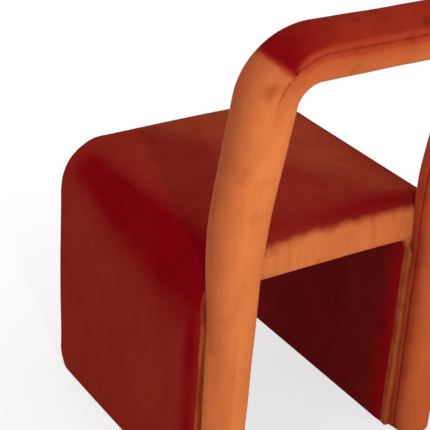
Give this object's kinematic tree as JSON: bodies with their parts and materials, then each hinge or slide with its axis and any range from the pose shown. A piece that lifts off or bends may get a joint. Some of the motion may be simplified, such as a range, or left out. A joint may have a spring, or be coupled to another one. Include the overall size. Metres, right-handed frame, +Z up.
{
  "type": "lounge chair",
  "caption": "Upholstered lounge chair: a velvet inverted-U seat block with panel sides down to the floor, and a padded hoop standing behind it as the backrest.",
  "frame": {"origin": "on the floor, under the centre of the chair's overall box", "axes": "+Z up, the sitter faces -Y so +Y is the chair's rear, +X to the sitter's left"},
  "size_m": [0.492, 0.5613, 0.7965],
  "materials": {
    "velvet": "rust velvet with a short pile",
    "foam": "open-cell foam and wadding, matte",
    "bottom_cloth": "thin black non-woven cloth",
    "softwood": "planed, unfinished",
    "plywood": "sanded, unfinished",
    "steel_tube": "drawn steel, oiled",
    "zinc_fixings": "zinc plated",
    "black_plastic": "moulded, matte"
  },
  "bodies": {
    "root": {"arch_lining": "velvet", "block_cover": "velvet", "deck_to_rail_screws": "zinc_fixings", "deck_to_side_screws": "zinc_fixings", "front_seat_rail": "softwood", "hoop_bolts": "zinc_fixings", "hoop_foot_plugs": "black_plastic", "hoop_rivet_nuts": "zinc_fixings", "hoop_spacers": "zinc_fixings", "hoop_strip_cover": "velvet", "hoop_tube": "steel_tube", "left_base_rail": "softwood", "left_bend_foam": "foam", "left_bottom_cloth": "bottom_cloth", "left_front_post": "softwood", "left_inner_ply": "plywood", "left_leg_cover": "velvet", "left_leg_foam": "foam", "left_outer_ply": "plywood", "left_rear_post": "softwood", "left_side_foam": "foam", "left_top_rail": "softwood", "middle_seat_rail": "softwood", "panel_glides": "black_plastic", "rear_seat_rail": "softwood", "right_base_rail": "softwood", "right_bend_foam": "foam", "right_bottom_cloth": "bottom_cloth", "right_front_post": "softwood", "right_inner_ply": "plywood", "right_leg_cover": "velvet", "right_leg_foam": "foam", "right_outer_ply": "plywood", "right_rear_post": "softwood", "right_side_foam": "foam", "right_top_rail": "softwood", "seat_deck": "plywood", "seat_foam": "foam", "top_bar_cover": "velvet", "top_bar_foam": "foam", "under_seat_wadding": "foam"}
  },
  "joints": []
}
